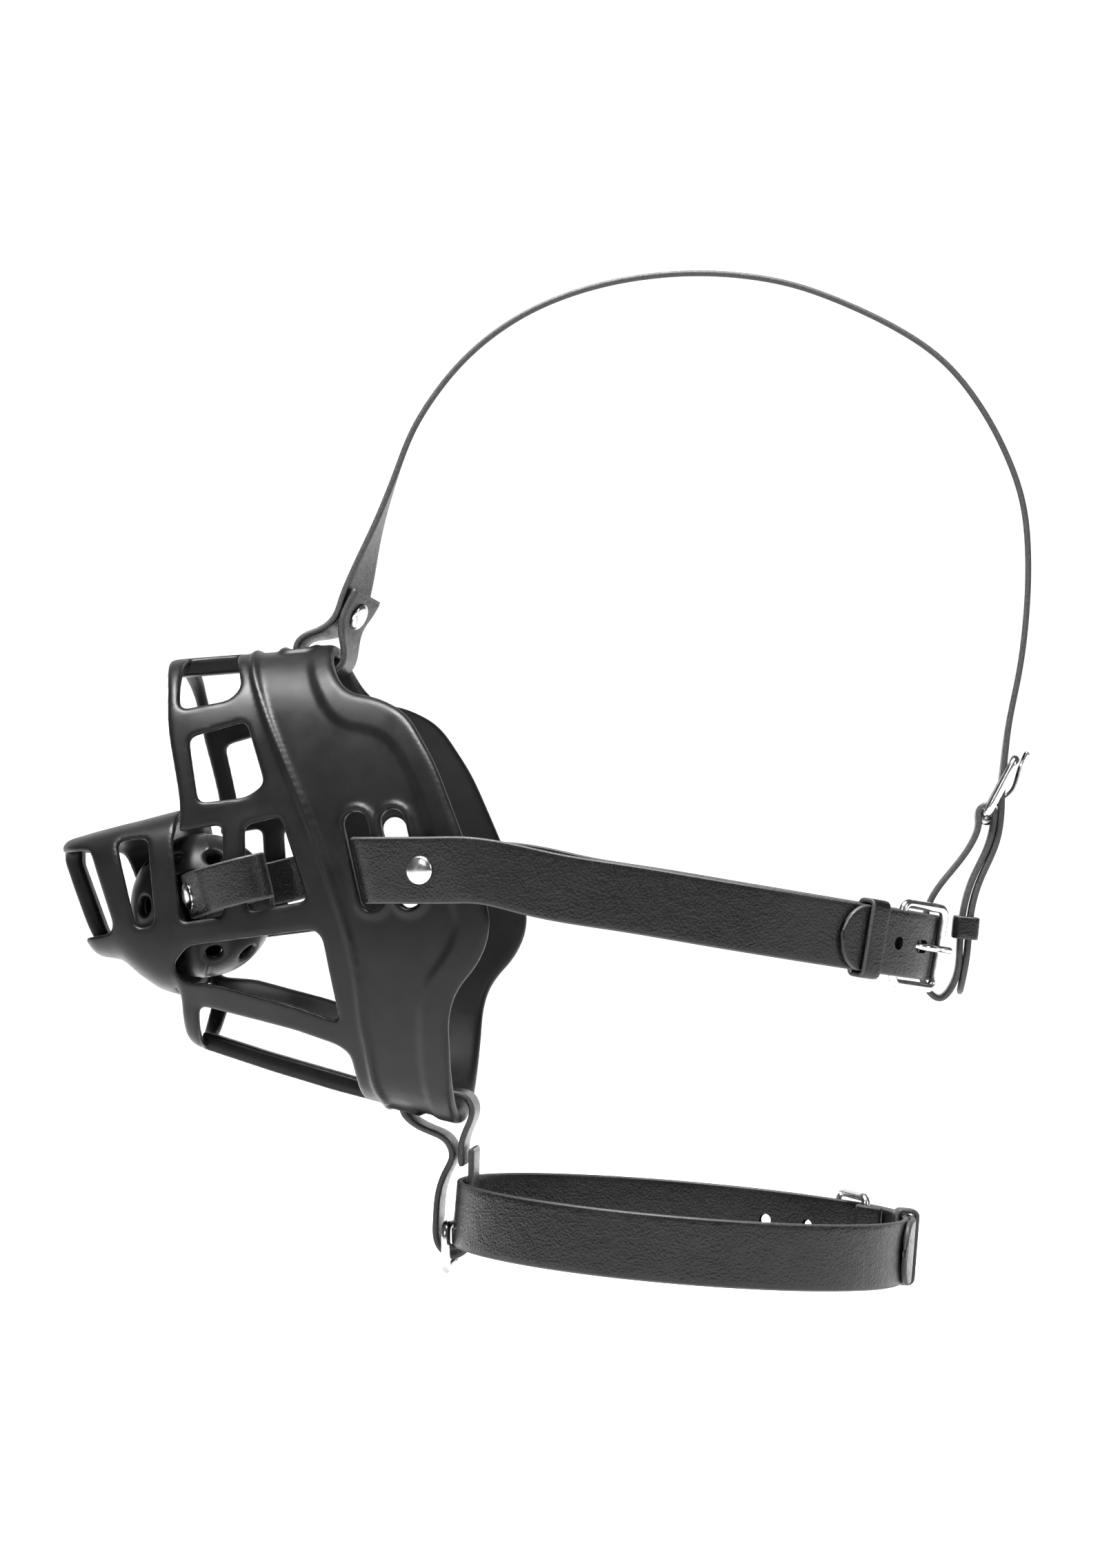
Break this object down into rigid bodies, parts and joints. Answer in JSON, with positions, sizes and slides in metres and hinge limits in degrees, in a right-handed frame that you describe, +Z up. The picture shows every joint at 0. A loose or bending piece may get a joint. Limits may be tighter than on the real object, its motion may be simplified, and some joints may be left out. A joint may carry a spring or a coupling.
{
  "type": "basket muzzle",
  "caption": "Moulded basket muzzle with windowed shell, inner mouth ball, buckled head harness, crown strap and a ringed neck collar.",
  "frame": {"origin": "centre of the basket's face opening, level with the side-strap slots", "axes": "+Z up, -X is where the basket's nose points, -Y is the wearer's left side strap with the buckle"},
  "size_m": [0.3018, 0.1404, 0.3169],
  "materials": {
    "rubber": "satin moulded rubber, faint mould texture",
    "ball_rubber": "smooth satin rubber",
    "strap_leather": "fine-grained bonded leather with plain cut edges",
    "nickel": "polished nickel plate"
  },
  "bodies": {
    "muzzle": {"basket": "rubber", "buckle_strap": "strap_leather", "tongue_strap": "strap_leather", "side_rivet_caps": "nickel", "side_rivet_backs": "nickel", "head_buckle_frame": "nickel", "crown_strap": "strap_leather", "crown_rivet_cap": "nickel", "crown_rivet_back": "nickel", "crown_loop": "strap_leather", "crown_buckle_frame": "nickel"},
    "ball": {"mouth_ball": "ball_rubber", "ball_strap": "strap_leather", "ball_rivet_caps": "nickel", "ball_rivet_backs": "nickel"},
    "head_prong": {"head_buckle_prong": "nickel"},
    "head_keeper": {"head_keeper": "strap_leather"},
    "crown_prong": {"crown_buckle_prong": "nickel"},
    "crown_keeper": {"crown_keeper": "strap_leather"},
    "chin_link": {"chin_link": "strap_leather"},
    "chin_ring": {"chin_ring": "nickel"},
    "collar": {"collar_strap": "strap_leather", "collar_buckle_frame": "nickel"},
    "collar_prong": {"collar_buckle_prong": "nickel"},
    "collar_keeper": {"collar_keeper": "strap_leather"}
  },
  "joints": [
    {"name": "ball_slide", "type": "slide", "parent": "muzzle", "child": "ball", "axis": [0, 0, 1], "range_m": [-0.0004, 0.0012]},
    {"name": "head_prong_hinge", "type": "hinge", "parent": "muzzle", "child": "head_prong", "pos_m": [0.13472, -0.03532, -0.01771], "axis": [0.165, 0, 0.9863], "range_deg": [-5, 0]},
    {"name": "head_keeper_slide", "type": "hinge", "parent": "muzzle", "child": "head_keeper", "pos_m": [0.07897, 0, -0.00838], "axis": [0.165, 0, 0.9863], "range_deg": [-3, 3]},
    {"name": "crown_prong_hinge", "type": "hinge", "parent": "muzzle", "child": "crown_prong", "pos_m": [0.1622, 0, 0.0215], "axis": [0, 1, 0], "range_deg": [0, 5]},
    {"name": "crown_keeper_slide", "type": "slide", "parent": "muzzle", "child": "crown_keeper", "axis": [0.0976, 0, 0.9952], "range_m": [-0.003, 0.003]},
    {"name": "chin_link_swing", "type": "hinge", "parent": "muzzle", "child": "chin_link", "pos_m": [-0.008, 0, -0.0705], "axis": [0, 1, 0], "range_deg": [-5, 5]},
    {"name": "chin_ring_swing", "type": "hinge", "parent": "chin_link", "child": "chin_ring", "pos_m": [-0.0044, 0, -0.1055], "axis": [0, 1, 0], "range_deg": [-4, 60]},
    {"name": "collar_swing", "type": "hinge", "parent": "chin_link", "child": "collar", "pos_m": [-0.001, 0, -0.1016], "axis": [0, 1, 0], "range_deg": [-4, 1.2]},
    {"name": "collar_prong_hinge", "type": "hinge", "parent": "collar", "child": "collar_prong", "pos_m": [0.12397, 0.03542, -0.11192], "axis": [0.0819, 0, 0.9966], "range_deg": [-5, 0]},
    {"name": "collar_keeper_slide", "type": "hinge", "parent": "collar", "child": "collar_keeper", "pos_m": [0.06747, 0, -0.10728], "axis": [0.0819, 0, 0.9966], "range_deg": [-3, 3]}
  ]
}
